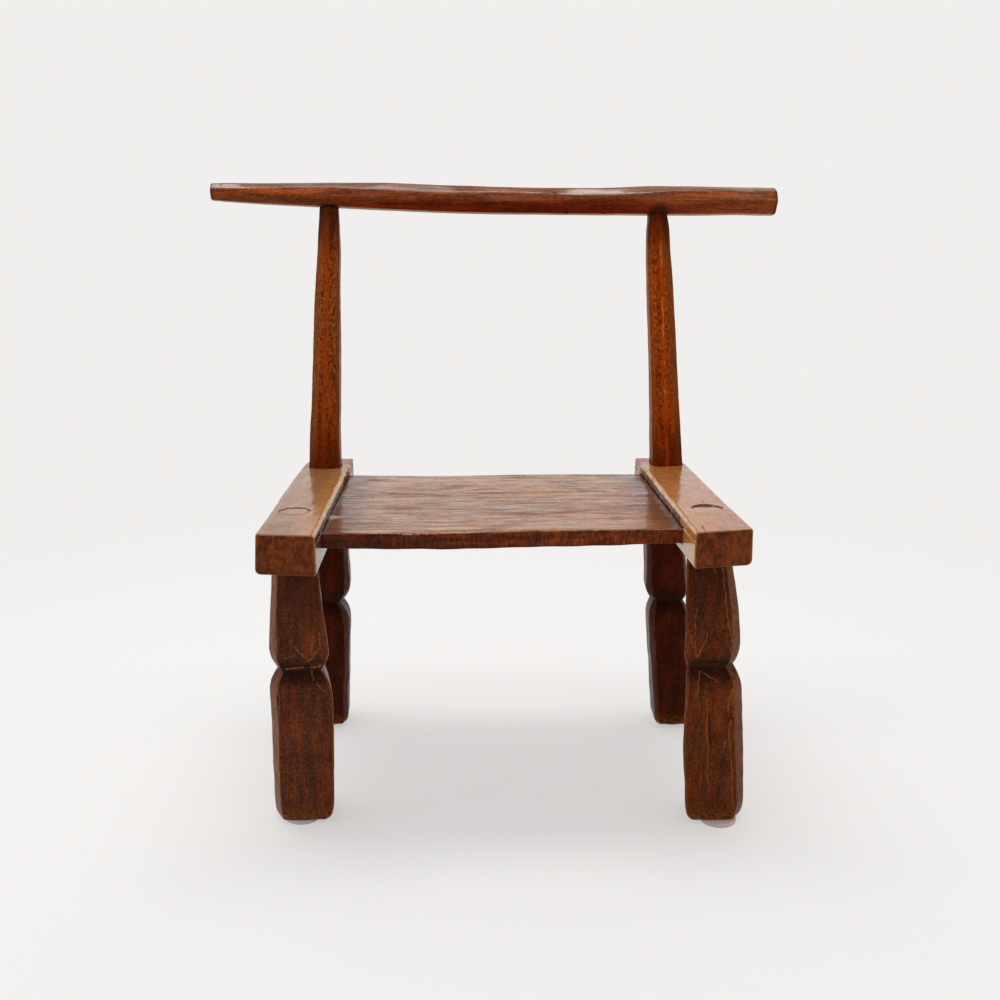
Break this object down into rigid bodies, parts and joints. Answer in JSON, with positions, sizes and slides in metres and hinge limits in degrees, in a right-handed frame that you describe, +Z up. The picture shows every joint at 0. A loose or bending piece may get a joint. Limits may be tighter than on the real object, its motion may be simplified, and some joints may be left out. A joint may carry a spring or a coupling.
{
  "type": "carved wooden chair",
  "caption": "Low hand-hewn wooden chair: housed seat board between heavy side rails, notched legs through-tenoned into them, leaning back posts and a long round crest rail.",
  "frame": {"origin": "on the floor, under the middle of the chair's bounding box", "axes": "+X to the right as seen from the front, +Y from the front of the seat towards the back, +Z up"},
  "size_m": [0.702, 0.4084, 0.7005],
  "materials": {
    "rail_wood": "waxed golden brown, worn light along the inner edges",
    "seat_wood": "waxed dark brown, polished by use",
    "leg_wood": "waxed dark brown over hewn facets, orange at worn edges",
    "post_wood": "waxed reddish brown with dark streaks",
    "crest_wood": "polished reddish brown",
    "glide_plastic": "pale, slightly translucent"
  },
  "bodies": {
    "root": {"left_side_rail": "rail_wood", "right_side_rail": "rail_wood", "seat_board": "seat_wood", "front_left_leg": "leg_wood", "front_right_leg": "leg_wood", "rear_left_leg_and_post": "post_wood", "rear_right_leg_and_post": "post_wood", "crest_rail": "crest_wood", "front_left_glide": "glide_plastic", "front_right_glide": "glide_plastic", "rear_left_glide": "glide_plastic", "rear_right_glide": "glide_plastic"}
  },
  "joints": []
}
